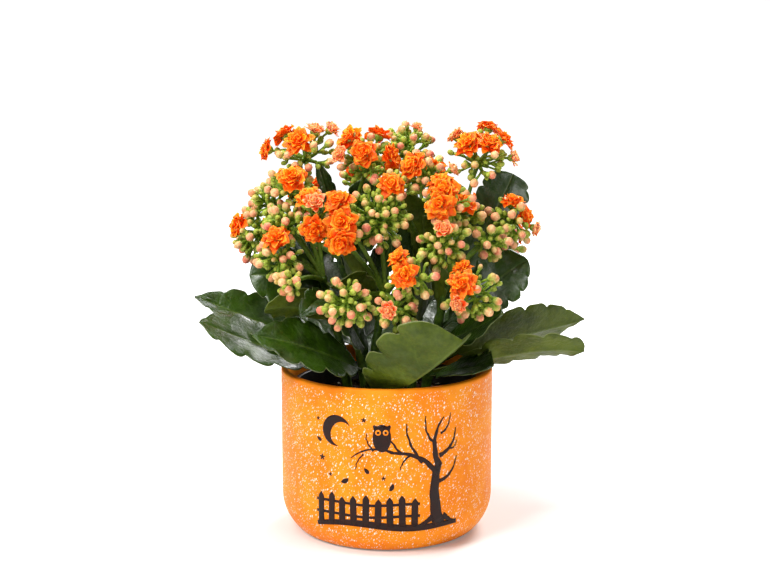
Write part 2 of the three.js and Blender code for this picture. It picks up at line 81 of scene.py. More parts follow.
# Each shoot's leaves: height on the stem, bend of the midrib, tip, width, turn,
# fold, taper, and the scallops on each side
LEAVES = {
    "left": [
        (112, [-79, -6, 133], [-121, -10, 151], 44, -24, 14, 0.85, 5),
        (103, [-77, -34, 122], [-114, -44, 142], 46, -26, 6, 0.6, 4),
        (134, [-53, -42, 157], [-73, -54, 152], 30, 42, 8, 0.5, 3),
        (132, [-51, -22, 170], [-85, -24, 167], 42, -62, 8, 0.5, 4),
        (150, [-39, -52, 163], [-52, -60, 148], 18, -40, 20, 0.8, 3),
        (150, [-60, 4, 184], [-76, 10, 201], 26, -60, 10, 0.7, 3),
        (118, [-70, 30, 130], [-106, 50, 140], 44, 10, 14, 0.7, 4),
    ],
    "front": [
        (104, [-41, -60, 130], [-80, -66, 138], 42, -40, 10, 0.8, 4),
        (138, [-21, -46, 175], [-33, -62, 167], 26, 30, 14, 0.7, 3),
        (95, [2, -61, 93], [44, -84, 139], 60, -15, 33, 0.3, 4),
        (148, [-24, -22, 170], [-32, -16, 193], 28, 60, 10, 0.7, 3),
        (112, [-22, -40, 138], [-30, -46, 158], 30, -60, 8, 0.6, 3),
    ],
    "right": [
        (102, [92, -44, 130], [121, -40, 123], 38, -36, 8, 0.6, 4),
        (110, [94, -6, 129], [126, 0, 135], 54, -44, 12, 1.1, 5),
        (128, [66, -16, 163], [88, -14, 175], 40, 52, 4, 0.6, 5),
        (150, [70, 10, 203], [80, 14, 226], 36, 70, 8, 0.4, 6),
        (120, [57, -40, 136], [70, -50, 149], 36, 40, 12, 0.6, 4),
        (100, [51, -50, 114], [65, -52, 117], 36, 20, 12, 0.6, 3),
        (138, [31, -14, 174], [23, -6, 202], 34, 60, 10, 0.7, 4),
        (104, [68, 34, 120], [100, 60, 126], 46, -10, 14, 0.7, 4),
    ],
    "back_left": [
        (160, [-35, 14, 206], [-45, 8, 235], 24, -60, 10, 0.9, 3),
        (106, [-36, 64, 126], [-52, 100, 146], 46, -12, 12, 0.7, 4),
        (128, [-46, 52, 160], [-72, 66, 176], 40, -20, 8, 0.6, 3),
        (98, [-2, 62, 112], [6, 100, 122], 44, 0, 14, 0.6, 4),
        (140, [-24, 20, 186], [-11, 12, 212], 44, 75, 8, 0.6, 4),
        (110, [-8, 6, 150], [4, 0, 186], 42, 66, 8, 0.6, 4),
        (164, [-16, 33, 194], [-6, 32, 222], 36, 70, 8, 0.6, 3),
    ],
    "back_right": [
        (130, [10, -6, 174], [3, -2, 197], 36, -70, 10, 0.6, 4),
        (104, [40, 66, 124], [56, 104, 140], 48, 12, 12, 0.6, 4),
        (132, [50, 50, 168], [62, 72, 190], 36, 20, 8, 0.6, 3),
        (148, [8, 50, 190], [0, 60, 212], 34, 30, 10, 0.6, 3),
        (146, [14, 18, 190], [7, 10, 216], 38, 35, 8, 0.6, 3),
        (110, [18, 6, 142], [15, -6, 174], 40, 55, 8, 0.6, 4),
        (162, [44, 26, 192], [48, 16, 218], 36, 30, 8, 0.6, 3),
    ],
}

# The heads, numbered from 1: shoot, middle, the cap that the buds fill as turn,
# rise, half angle, reach and places, then the open flowers as turn, rise, reach,
# width and openness
HEADS = [
    ["left", [-51, 5, 236], [-95, 50, 84, 22, 11],
     [[-175, 15, 28, 15, 1], [155, 45, 24, 17, 1], [-105, 40, 23, 20, 1], [-20, 70, 22, 14, 0.6],
      [0, 50, 27, 13, 0.4]]],
    ["back_left", [-11, 0, 233], [-90, 45, 85, 20, 10],
     [[-142, 50, 27, 19, 1], [55, 60, 24, 16, 1], [-100, 26, 25, 17, 1], [-138, 18, 27, 12, 0.4],
      [-35, 20, 21, 16, 1]]],
    ["back_right", [13, 20, 237], [-90, 60, 84, 20, 15], [[-50, 65, 22, 8, 0.3]]],
    ["right", [57, 0, 234], [-80, 45, 84, 21, 11],
     [[165, 50, 24, 13, 0.6], [-120, 45, 22, 18, 1], [-60, 50, 21, 18, 1], [45, 65, 27, 15, 1],
      [0, 45, 25, 16, 1], [-5, 10, 24, 11, 0.5]]],
    ["left", [-59, -12, 216], [-70, 50, 75, 18, 10], [[-85, 45, 20, 20, 1]]],
    ["left", [-80, 0, 190], [-155, -5, 98, 19, 16], [[-165, 22, 18, 17, 1]]],
    ["left", [-61, -22, 196], [-110, 45, 75, 18, 12], []],
    ["left", [-64, -32, 180], [-110, 20, 85, 17, 11], [[-105, 50, 21, 17, 1]]],
    ["left", [-56, -55, 168], [-120, 0, 60, 12, 7], []],
    ["front", [-42, -30, 202], [-95, 30, 70, 18, 5],
     [[-120, 55, 22, 17, 1], [-95, 40, 23, 13, 0.6], [-95, -10, 21, 18, 1]]],
    ["front", [-24, -40, 200], [-90, 20, 70, 18, 4],
     [[-115, 55, 23, 18, 1], [-100, 15, 22, 19, 1], [-100, -20, 24, 19, 1]]],
    ["front", [-5, -30, 203], [-90, 20, 80, 22, 20], []],
    ["back_right", [4, -20, 215], [-90, 45, 70, 18, 6], [[-95, 35, 20, 16, 1]]],
    ["back_right", [27, -10, 225], [-80, 50, 80, 18, 8],
     [[-135, 30, 22, 17, 1], [0, 75, 12, 16, 1], [-10, 25, 17, 10, 0.4]]],
    ["right", [36, -35, 212], [-90, 25, 75, 18, 7],
     [[-120, 60, 20, 16, 1], [-100, 40, 20, 17, 1], [-105, 10, 21, 19, 1]]],
    ["right", [44, -20, 203], [-50, 30, 80, 17, 11], [[-50, 55, 14, 17, 1]]],
    ["front", [34, -45, 190], [-90, 0, 85, 17, 13], [[-90, 40, 19, 13, 0.6]]],
    ["right", [78, -10, 200], [-95, -10, 90, 17, 15],
     [[-90, 75, 15, 14, 1], [-30, 20, 12, 14, 1], [-10, -20, 17, 11, 0.4]]],
    ["right", [62, -25, 188], [-75, 0, 70, 14, 7], []],
    ["front", [-23, -60, 157], [-100, -5, 85, 18, 14], []],
    ["front", [13, -60, 172], [-80, 0, 85, 18, 8], [[-125, 50, 20, 14, 1], [-100, 15, 20, 17, 1]]],
    ["front", [5, -62, 154], [-85, 0, 75, 16, 8], [[-105, 5, 17, 11, 0.6]]],
    ["right", [50, -55, 162], [-75, -15, 85, 20, 12],
     [[-140, 65, 20, 13, 1], [-110, 25, 22, 18, 1], [-115, -10, 21, 11, 0.6]]],
    ["back_left", [-44, 34, 198], [110, 40, 80, 20, 9],
     [[150, 40, 22, 17, 1], [100, 60, 22, 18, 1], [110, 10, 22, 16, 1]]],
    ["back_left", [-64, 34, 182], [150, 20, 80, 18, 10], [[160, 20, 20, 17, 1]]],
    ["back_left", [-14, 44, 214], [90, 40, 80, 20, 9],
     [[110, 20, 22, 18, 1], [60, 40, 22, 18, 1], [140, 55, 20, 15, 0.7]]],
    ["back_right", [22, 46, 214], [90, 40, 80, 20, 11],
     [[60, 30, 22, 18, 1], [120, 40, 22, 16, 1]]],
    ["back_right", [48, 36, 190], [50, 35, 85, 18, 10], [[30, 50, 22, 18, 1], [70, 20, 22, 17, 1]]],
    ["right", [72, 34, 176], [30, 20, 85, 18, 11], [[20, 30, 20, 17, 1]]],
    ["back_left", [-32, 60, 178], [110, 10, 85, 18, 11], [[115, 25, 20, 18, 1]]],
    ["back_right", [32, 62, 180], [80, 10, 85, 18, 10],
     [[60, 20, 21, 18, 1], [110, 30, 20, 12, 0.5]]],
    ["left", [-71, 0, 208], [-160, 45, 78, 18, 10], []],
]
for number, head in enumerate(HEADS, 1):
    head[:2] = [f"head_{number:02d}", head[0], array(head[1], float)]


# ---- working out surfaces ----


def join(*parts):
    """Coordinates side by side along the last axis."""
    return np.stack(np.broadcast_arrays(*parts), -1)


def circle(count):
    """Evenly spaced angles of one full turn."""
    return arange(count) * 2 * pi / count


def ridge(x, width):
    """A smooth bump of height 1 at x = 0."""
    return np.exp(-((x / width) ** 2))


def unit(v):
    return v / np.linalg.norm(v, axis=-1, keepdims=True)


def heading(turn, rise):
    """Unit vector from a turn about Z and a rise above the level, in degrees."""
    a, b = radians(turn), radians(rise)
    return join(cos(a) * cos(b), sin(a) * cos(b), sin(b))


def across(direction):
    """Two unit vectors square to each direction."""
    level = np.abs(direction[..., 2:3]) < 0.9
    u = unit(np.cross(direction, np.where(level, [0.0, 0.0, 1.0], [1.0, 0.0, 0.0])))
    return u, np.cross(direction, u)


def bezier(a, b, c, t):
    """Point at t on the curve that leaves a towards b and reaches c."""
    t = t[..., None]
    return (1 - t) ** 2 * a + 2 * t * (1 - t) * b + t**2 * c


def stem_point(shoot, height):
    """Axis of a stem: upright in the soil, then a lean that eases in and out."""
    foot, top = SHOOTS[shoot]
    k = np.clip((height - SOIL_TOP) / (top[2] - SOIL_TOP), 0, 1)
    lean = k - 0.12 * sin(pi * k)
    x, y = (low + (high - low) * lean for low, high in zip(foot, top))
    return join(x, y, height)


# What every point carries for the materials, and its usual value
VALUES = {"along": 0.5, "side": 0.0, "face": 1.0, "tone": 0.5, "age": 1.0}


def shells(rings, **values):
    """Closed skins over a batch of ring stacks.

    rings is (skins, rows, columns, 3). Neighbouring rings are joined by quads
    and each end ring is closed by a fan round its mean point. If the enclosed
    volume comes out negative, every face is turned.
    """
    n, rows, cols = rings.shape[:3]

    def capped(x):
        """Adds the means of the first and of the last ring."""
        ends = np.stack([x[:, 0].mean(1), x[:, -1].mean(1)], 1)
        return concatenate([x.reshape(n, rows * cols, *x.shape[3:]), ends], 1)

    carried = []
    for label, usual in VALUES.items():
        value = np.asarray(values.get(label, usual), float)
        carried.append(capped(np.broadcast_to(value, (n, rows, cols))).ravel())
    points = capped(rings)
    row, col = np.divmod(arange((rows - 1) * cols), cols)
    a = row * cols + col
    b = row * cols + (col + 1) % cols
    quads = np.stack([a, b, b + cols, a + cols], -1)
    first = arange(cols)
    last = first + (rows - 1) * cols
    low = join(rows * cols, np.roll(first, -1), first)
    high = join(rows * cols + 1, last, np.roll(last, -1))
    tris = concatenate([low, high])
    flat = concatenate([quads[:, [0, 1, 2]], quads[:, [0, 2, 3]], tris])
    p, q, r = (points[:, corner] for corner in flat.T)
    if np.sum(p * np.cross(q, r)) < 0:
        quads, tris = quads[:, ::-1], tris[:, ::-1]
    step = arange(n)[:, None, None] * (rows * cols + 2)
    quads, tris = (quads + step).reshape(-1, 4), (tris + step).reshape(-1, 3)
    return points.reshape(-1, 3), quads, tris, np.stack(carried)


def within(points):
    """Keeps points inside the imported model's box.

    Near a side or the top, the way out is eased by tanh.
    """
    low, high = array(cad_box) / MM
    low, high = low + EASE, high - EASE
    low[2] = -np.inf
    over = np.maximum(points - high, 0) - np.maximum(low - points, 0)
    return points - over + EASE * np.tanh(over / EASE)


def add(name, data):
    """A new object in the scene."""
    thing = bpy.data.objects.new(name, data)
    bpy.context.scene.collection.objects.link(thing)
    return thing


def piece(name, parts, materials, slot, *nodes):
    """One mesh object from skins, each with the number of its material."""
    skins, numbers = zip(*parts)
    points, quads, tris, values = zip(*skins)
    starts = np.cumsum([0] + [len(skin) for skin in points])
    faces = [face + start for kind in (quads, tris) for face, start in zip(kind, starts)]
    sizes = concatenate([np.full(len(face), face.shape[1]) for face in faces])
    finishes = concatenate([np.full(len(face), k) for face, k in zip(faces, numbers * 2)])
    corners = concatenate([face.ravel() for face in faces])
    mesh = bpy.data.meshes.new(name)
    mesh.vertices.add(int(starts[-1]))
    mesh.loops.add(len(corners))
    mesh.polygons.add(len(sizes))
    mesh.vertices.foreach_set("co", (within(concatenate(points)) * MM).ravel())
    mesh.loops.foreach_set("vertex_index", corners.astype(np.int32))
    for key, value in (("loop_start", np.cumsum(sizes) - sizes), ("loop_total", sizes),
                       ("material_index", finishes)):
        mesh.polygons.foreach_set(key, value.astype(np.int32))
    mesh.polygons.foreach_set("use_smooth", np.ones(len(sizes), bool))
    mesh.update(calc_edges=True)
    for label, value in zip(VALUES, concatenate(values, 1)):
        mesh.attributes.new(label, "FLOAT", "POINT").data.foreach_set("value", value)
    for material in materials:
        mesh.materials.append(material)
    thing = add(name, mesh)
    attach(thing, "root")
    if nodes:
        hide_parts(*nodes)


def tubes(paths, radii, cols, **values):
    """Round rods: rings of the given radii square to each path of points."""
    slope = unit(np.gradient(paths, axis=1))
    u, _ = across(unit(paths[:, -1] - paths[:, 0]))
    v = unit(np.cross(slope, u[:, None]))
    u = np.cross(v, slope)
    angle = circle(cols)[:, None]
    ring = cos(angle) * u[:, :, None] + sin(angle) * v[:, :, None]
    radii = np.broadcast_to(radii, paths.shape[:2])[:, :, None, None]
    return shells(paths[:, :, None] + ring * radii, **values)


def lathe(profile, segments):
    """A profile of radius and height turned about Z, from near the axis and back to it."""
    angle = circle(segments)
    r, z = profile[:, :1], profile[:, 1:]
    return shells(join(r * cos(angle), r * sin(angle), z)[None])


def rounded(profile, radii, steps):
    """A polyline whose inner corners become curves that leave them by a radius."""
    profile = array(profile, float)
    t = linspace(0, 1, steps)
    out = [profile[:1]]
    for a, b, c, r in zip(profile[:-2], profile[1:-1], profile[2:], radii):
        out.append(bezier(b + unit(a - b) * r, b, b + unit(c - b) * r, t))
    out.append(profile[-1:])
    return concatenate(out)


# ---- pot, print and soil ----


def pot_skin():
    """The cover pot: a straight wall on a rounded foot, with a soft rim.

    Its profile runs out under the foot, up the wall, over the rim and down
    inside. The long outer line is cut into eight so that shading stays even.
    """
    r, h, inner, edge = POT_RADIUS, POT_HEIGHT, POT_RADIUS - POT_WALL, POT_EDGE
    corners = [(0.5, 1.2), (44, 1.2), (47, 0), (r - edge + 1, 0), (r, edge + 1), (r, h),
               (inner, h), (inner, POT_FLOOR), (0.5, POT_FLOOR)]
    profile = rounded(corners, [1, 1.5, 4, 11, 1.9, 1.9, 8], 9)
    wall = np.argmax(np.abs(np.diff(profile[:, 1])) > 60)
    low, high = profile[wall : wall + 2]
    rows = low + (high - low) * linspace(0, 1, 9)[1:-1, None]
    return lathe(concatenate([profile[: wall + 1], rows, profile[wall + 1 :]]), 144)


def on_pot(flat, depth):
    """Wraps flat print points round the front of the pot at a depth above its wall."""
    turn = flat[..., 0] / POT_RADIUS
    radius = POT_RADIUS + depth
    return join(radius * sin(turn), -radius * cos(turn), flat[..., 1])


def band(path, half, cols=4):
    """A printed stroke: flat points to both sides of a path, wrapped on the pot."""
    slope = unit(np.gradient(path, axis=0))
    flank = join(-slope[:, 1], slope[:, 0])
    b = linspace(-1, 1, cols + 1)
    b = concatenate([b, b[::-1]])
    depth = np.repeat([FILM, SUNK], cols + 1)
    half = np.broadcast_to(half, len(path))
    flat = path[:, None] + flank[:, None] * (half[:, None] * b)[..., None]
    return shells(on_pot(flat, depth)[None])


def patch(x, z, radius, film=FILM):
    """A printed spot whose outline is a radius for each angle, wrapped on the pot."""
    angle = circle(len(radius))
    reach = array([0.05, 0.4, 0.75, 1.0, 1.0, 0.75, 0.4, 0.05])[:, None] * radius
    depth = np.repeat([SUNK, film], 4)[:, None]
    flat = join(x + reach * cos(angle), z + reach * sin(angle))
    return shells(on_pot(flat, depth)[None])


# Boughs of the printed tree: three points on each, and its half width at both ends
BOUGHS = [
    (33, 19, 30, 40, 33, 58, 4.2, 2.3), (33, 56, 30, 72, 36, 86, 2.3, 0.4),
    (32, 50, 20, 62, 2, 66, 1.9, 0.8), (4, 66, -10, 68, -22, 62, 0.9, 0.35),
    (22, 59, 14, 72, 12, 84, 1.1, 0.35), (33, 62, 42, 68, 45, 78, 1.5, 0.35),
    (32, 46, 41, 50, 46, 60, 1.4, 0.35), (8, 66, 2, 74, -3, 82, 0.8, 0.3),
    (31, 70, 25, 77, 24, 88, 1.0, 0.3), (-8, 67, -12, 73, -12, 78, 0.6, 0.25),
    (34, 76, 39, 80, 41, 88, 0.8, 0.25), (14, 64, 10, 60, 8, 55, 0.7, 0.25),
    (-14, 65, -18, 60, -19, 55, 0.5, 0.25), (40, 66, 44, 66, 46, 70, 0.6, 0.25),
    (29, 24, 24, 21, 19, 19, 2.2, 0.5), (36, 24, 40, 21, 44, 19, 2.2, 0.5),
]


def night_print():
    """Silhouettes of an autumn evening: tree, owl, moon, stars, fence and leaves."""
    t = linspace(0, 1, 30)
    ground = join(-46 + 92 * t, 20 + 1.6 * sin(t * 7) - 2.5 * (2 * t - 1) ** 2)
    ink, light = [band(ground, 1.3 + 0.9 * sin(pi * t))], []
    s = linspace(0, 1, 14)
    for *points, wide, narrow in BOUGHS:
        a, b, c = np.reshape(array(points, float), (3, 2))
        wobble = 0.35 * sin(s * 19 + a[0])
        path = bezier(a, 2 * b - (a + c) / 2, c, s) + wobble[:, None] * [[0.6, 0.3]]
        ink.append(band(path, wide + (narrow - wide) * s**0.8 + 0.12 * sin(s * 31)))
    for k, x in enumerate(linspace(-43, 17, 9)):
        top = 38 + 1.3 * sin(k * 2.1)
        z = array([19, 24, 30, top - 3, top - 2, top])
        lean = 0.5 * sin(k * 1.7)
        picket = join(x + lean * (z - 19) / 19, z)
        ink.append(band(picket, [2.1, 2.1, 2.1, 2.1, 1.7, 0.15]))
    for z in (25.5, 33):
        ink.append(band(join(-46.5 + 67 * t, z + 0.4 * sin(t * 9)), 0.85))
    arc = radians(linspace(35, 265, 30))
    moon = join(-30 + 8.5 * cos(arc), 77 + 8.5 * sin(arc))
    ink.append(band(moon, 0.15 + 3.1 * sin(linspace(0, pi, 30)) ** 1.3, 6))
    theta = circle(60)
    star = 0.42 + 0.58 * (np.abs(cos(2.5 * (theta - pi / 2)))) ** 2.2
    stars = [(-42, 60, 2.1), (-14, 86, 1.7), (-36, 50, 1.3), (-2, 50, 1.5), (-45, 84, 1.4)]
    ink += [patch(x, z, size * star) for x, z, size in stars]
    body = 1 / np.sqrt((cos(theta) / 5.6) ** 2 + (sin(theta) / 8.6) ** 2)
    tufts = sum(ridge(theta - radians(turn), 0.13) for turn in (57, 123))
    ink.append(patch(-3, 75, body + 2.6 * tufts))
    for x in (-5.3, -0.7):
        light.append(patch(x, 78.6, np.full(60, 1.75), FILM + 0.04))
        ink.append(patch(x, 78.5, np.full(60, 0.85), FILM + 0.08))
    s = linspace(-1, 1, 12)
    leaves = [(-26, 47, 0.5, 5.5), (-12, 54, 2.3, 4.5), (3, 44, 1.1, 5.0), (-44, 71, 2.6, 4.0)]
    for x, z, turn, size in leaves:
        spine = join(cos(turn) * s - 0.2 * s**2 * sin(turn), sin(turn) * s + 0.2 * s**2)
        half = np.maximum(size * 0.27 * (1 - s**2) ** 0.8, 0.12)
        ink.append(band(array([x, z]) + spine * size / 2, half))
    return [(skin, 0) for skin in ink] + [(skin, 1) for skin in light]


def liner_skin():
    """The grower's pot: a tapered thin wall, a foot and a rolled lip."""
    z0, z1 = POT_FLOOR + 0.3, POT_FLOOR + 0.3 + LINER_HEIGHT
    r0, r1, w = LINER_FOOT, LINER_TOP, LINER_WALL
    corners = [(0.5, z0 + 1), (r0 - 4, z0 + 1), (r0 - 3, z0), (r0, z0), (r1 - w * 0.4, z1 - 8),
               (r1 + 1.2, z1 - 7), (r1 + 1.2, z1), (r1 - w, z1), (r1 - w - 0.4, z1 - 9),
               (r0 - w, z0 + 2.4), (0.5, z0 + 2.4)]
    return lathe(rounded(corners, [0.5, 0.5, 1, 0.6, 0.5, 0.8, 0.7, 1.5, 1.5], 4), 112)


def soil_skin(rng):
    """Potting mix: a disc whose top is heaped up by waves.

    The waves have four lengths and run in seeded directions; the top falls a
    little towards the rim.
    """
    r = concatenate([linspace(1.5, 54.6, 44), [55.2, 46, 3]])[:, None]
    angle = circle(150)
    x, y = r * cos(angle), r * sin(angle)
    height = np.full(x.shape, SOIL_TOP - 0.6) - 1.6 * (r / SOIL_RADIUS) ** 4
    for wave in (15.0, 6.0, 3.1, 1.9):
        for turn, shift in rng.uniform(0, 6.28, (4, 2)):
            run = x * cos(turn) + y * sin(turn)
            height += 0.05 * wave**0.8 * sin(run * 6.28 / wave + shift)
    height[-3], height[-2:] = 70, POT_FLOOR + 3
    return shells(join(x, y, height)[None])


def crumbs(rng, count, low, high, lift):
    """Lumps on the soil: balls stretched three ways and dented by a wave."""
    r, turn = 53 * np.sqrt(rng.uniform(0, 1, count)), rng.uniform(0, 6.28, count)
    r, turn = r[:, None, None], turn[:, None, None]
    size = rng.uniform(low, high, count)[:, None, None]
    phi = linspace(0.35, pi - 0.35, 5)[:, None]
    theta = circle(8)
    dent = 1 + 0.16 * sin(theta * 3 + phi * 4 + rng.uniform(0, 6, count)[:, None, None])
    wide, deep, tall = size * dent * rng.uniform(0.7, 1.3, (3, count, 1, 1))
    x = r * cos(turn) + wide * sin(phi) * cos(theta)
    y = r * sin(turn) + deep * sin(phi) * sin(theta)
    z = SOIL_TOP + lift - 1.4 * (r / SOIL_RADIUS) ** 4 + tall * cos(phi) * 0.8
    return shells(join(x, y, z), tone=rng.uniform(0, 1, (count, 1, 1)))


# ---- leaves and stems ----


def blade(shoot, leaf):
    """A fleshy leaf as one closed skin.

    The midrib is a curve from the stem through a bend to the tip. The half
    width grows as s^0.7 and shrinks as (1-s)^taper; rounded scallops, powers
    of |sin|, are cut into it, a little out of step on the two sides. The blade
    rises from the midrib by its fold, waves along its length, is quilted
    between side veins that run forward, and its section rounds off at the rim.
    """
    height, bend, tip, width, turn, fold, taper, lobes = leaf
    start, (bend, tip) = stem_point(shoot, height), array([bend, tip], float)
    phase = float(np.sum(tip) * 0.7)
    s = linspace(0, 1, 14 * lobes + 1)
    t = concatenate([linspace(0, PETIOLE, 7)[:-1], PETIOLE + (1 - PETIOLE) * s])
    s = concatenate([np.zeros(6), s])[:, None]
    middle = bezier(start, bend, tip, t)
    along = unit((1 - t)[:, None] * (bend - start) + t[:, None] * (tip - bend))
    chord = unit(tip - start)
    up = unit(array([0.0, 0.0, 1.0]) - chord * chord[2])
    normal = unit(up - along * (along @ up)[:, None])
    flank = np.cross(along, normal)
    level, tilt = cos(radians(turn)), sin(radians(turn))
    top, edge = normal * level + flank * tilt, flank * level - normal * tilt
    v = array([0, 0.05, 0.13, 0.3, 0.5, 0.68, 0.84, 0.95, 1.0])
    v = concatenate([-v[:0:-1], v])
    v = concatenate([v, v[-2:0:-1]])
    sign = np.repeat([0, 1, 0, -1], [1, 15, 1, 15])
    wide, rib = np.abs(v), ridge(v, 0.2)
    peak = 0.7 / (0.7 + taper)
    shape = s**0.7 * (1 - s) ** taper / (peak**0.7 * (1 - peak) ** taper)
    lobe = np.clip((s - 0.15) / 0.85, 0, 1) * lobes + 0.22 * np.sign(v) * sin(phase)
    warp = lobe + 0.1 * sin(2 * pi * lobe)
    cut = np.where(s > 0.15, np.abs(sin(pi * warp)) ** 0.7, 1.0)
    depth = SCALLOP_DEPTH * min(1, 4 / lobes) * (1.1 + 0.2 * sin(phase * 3 + lobe))
    half = np.maximum(width / 2 * shape * (1 - depth * (1 - cut)), 0.5 + 0.9 * (s < 0.08))
    soft = np.clip(half / 8, 0, 1)
    thick = 0.5 * LEAF_THICKNESS * (0.5 + 0.5 * rib) * np.sqrt(1 - v**8)
    vein = np.abs(sin(pi * (s * 1.08 - 0.2 * wide) * (lobes + 1)))
    lift = np.tan(radians(fold)) * half * wide**1.35
    lift += soft * wide**1.6 * 1.1 * sin(7.5 * s + phase + 1.6 * np.sign(v))
    lift += soft * wide**4 * 0.55 * cos(2 * pi * lobe + phase)
    lift += soft * 0.42 * np.sqrt(vein) * np.minimum(wide * 6, 1) * (1 - wide**3)
    lift -= soft * 0.5 * ridge(v, 0.07)
    lift += sign * (thick * np.where(t < PETIOLE, 1.35, 1.0)[:, None])
    rings = middle[:, None] + (half * v)[..., None] * edge[:, None] + lift[..., None] * top[:, None]
    return shells(rings[None], along=s, side=v, face=0.5 + 0.5 * sign, tone=phase * 1.37 % 1)


def stem(shoot):
    """A stem with slight swellings where its leaves join."""
    top = SHOOTS[shoot][1][2]
    z = linspace(STEM_FOOT, top, 60)
    k = np.clip((z - SOIL_TOP) / (top - SOIL_TOP), 0, 1)
    radius = STEM_RADIUS + (STEM_TIP_RADIUS - STEM_RADIUS) * k
    for height, *_ in LEAVES[shoot]:
        radius += 0.5 * ridge(z - height, 2.5)
    radius[-1] *= 0.6
    return tubes(stem_point(shoot, z)[None], radius, 16, along=k[:, None], tone=0.2)


def stalks(shoot):
    """Flower stalks: curves from the stem's end to the middle of each head."""
    start = stem_point(shoot, SHOOTS[shoot][1][2] - 3.0)
    t = linspace(0, 1, 18)
    paths = []
    for _, owner, hub, _, _ in HEADS:
        if owner == shoot:
            bend = start + 0.45 * (hub - start)
            bend[2] += 0.16 * np.linalg.norm(hub - start)
            paths.append(bezier(start, bend, hub, t))
    radius = STALK_RADIUS + 0.4 * (1 - t) ** 2 + 0.6 * ridge(t - 1, 0.06)
    return tubes(array(paths), radius, 10, along=t[:, None], tone=0.6)


# ---- flower heads ----


def petals(seat, axis, turn, start, end, length, half, twist, tone, age):
    """A batch of petals, each a thin spoon on a curved rib.

    The rib's angle above the flower's plane goes evenly from start to end. The
    half width is a^0.55 (1-a)^0.85, scaled to 1 at its widest; the blade is
    cupped by the square of the distance from the rib, twisted, and waved.
    """
    a = array([0.0, 0.22, 0.45, 0.67, 0.86, 1.0])
    u, v = across(axis)
    turn = turn[:, None]
    radial, flank = cos(turn) * u + sin(turn) * v, cos(turn) * v - sin(turn) * u
    angle = start[:, None] + (end - start)[:, None] * a
    middle = (angle[:, 1:] + angle[:, :-1]) / 2
    step = length[:, None] * np.diff(a)
    run, rise = (np.pad(np.cumsum(way(middle) * step, 1), ((0, 0), (1, 0)))[..., None]
                 for way in (cos, sin))
    rib = seat[:, None] + run * radial[:, None] + rise * axis[:, None]
    angle = angle[..., None]
    normal = cos(angle) * axis[:, None] - sin(angle) * radial[:, None]
    shape = a**0.55 * (1 - a) ** 0.85
    shape = np.maximum(shape / shape.max(), [0.25, 0, 0, 0, 0, 0.05])
    b = array([-1, -0.5, 0, 0.5, 1, 0.5, 0, -0.5])
    sign = array([0, 1, 1, 1, 0, -1, -1, -1])
    wide = (half[:, None] * shape)[..., None]
    wave = 0.4 * sin(a[:, None] * 9 + b * 2 + turn[..., None] * 7) * b**2
    bulge = wide * (0.3 * b**2 + twist[:, None, None] * b * a[:, None] + wave) + 0.14 * sign
    rings = rib[:, :, None] + (wide * b)[..., None] * flank[:, None, None]
    rings = rings + bulge[..., None] * normal[:, :, None]
    return shells(rings, along=a[:, None], side=np.abs(b), face=0.5 + 0.5 * sign,
                  tone=tone[:, None, None], age=age[:, None, None])


# Petals, angles at the base and at the tip, length and half width for each whorl
# of a flower, from the outside in: first wide open, then half open
OPEN = array([(7, 18, -8, 0.54, 0.215), (7, 32, 8, 0.49, 0.205), (6, 48, 32, 0.41, 0.185),
                 (5, 64, 58, 0.33, 0.150), (4, 78, 92, 0.26, 0.120)])
SHUT = array([(7, 30, 62, 0.58, 0.220), (7, 46, 84, 0.53, 0.200), (6, 60, 96, 0.47, 0.175),
                 (5, 72, 102, 0.41, 0.145), (4, 84, 108, 0.33, 0.115)])


def blooms(hub, flowers, rng):
    """Double flowers: five whorls of petals, flat outside and upright within."""
    rows = []
    for turn, rise, reach, width, openness in flowers:
        axis = heading(turn, rise)
        broad = rng.uniform(0.85, 1.2)
        width = width * FULLNESS
        for k in range(5):
            count, base, tip, long, half = SHUT[k] + (OPEN[k] - SHUT[k]) * openness
            count = int(count)
            seat = hub + axis * (reach - width * (0.28 - 0.016 * k))
            shake = rng.normal(0, 1, (5, count))
            turns = circle(count) + 0.7 * k + 0.16 * shake[0]
            tip = radians(tip + 8 * shake[1] + 14 * shake[2])
            base = radians(base + 8 * shake[1])
            rows.append(join(
                *seat, *axis, turns, base, tip, width * long * (1 + 0.07 * shake[3]),
                width * half * broad * (1 + 0.1 * shake[4]), 0.3 * shake[4], k / 4, openness,
            ))
    row = concatenate(rows)
    return petals(row[:, :3], row[:, 3:6], *row[:, 6:].T)


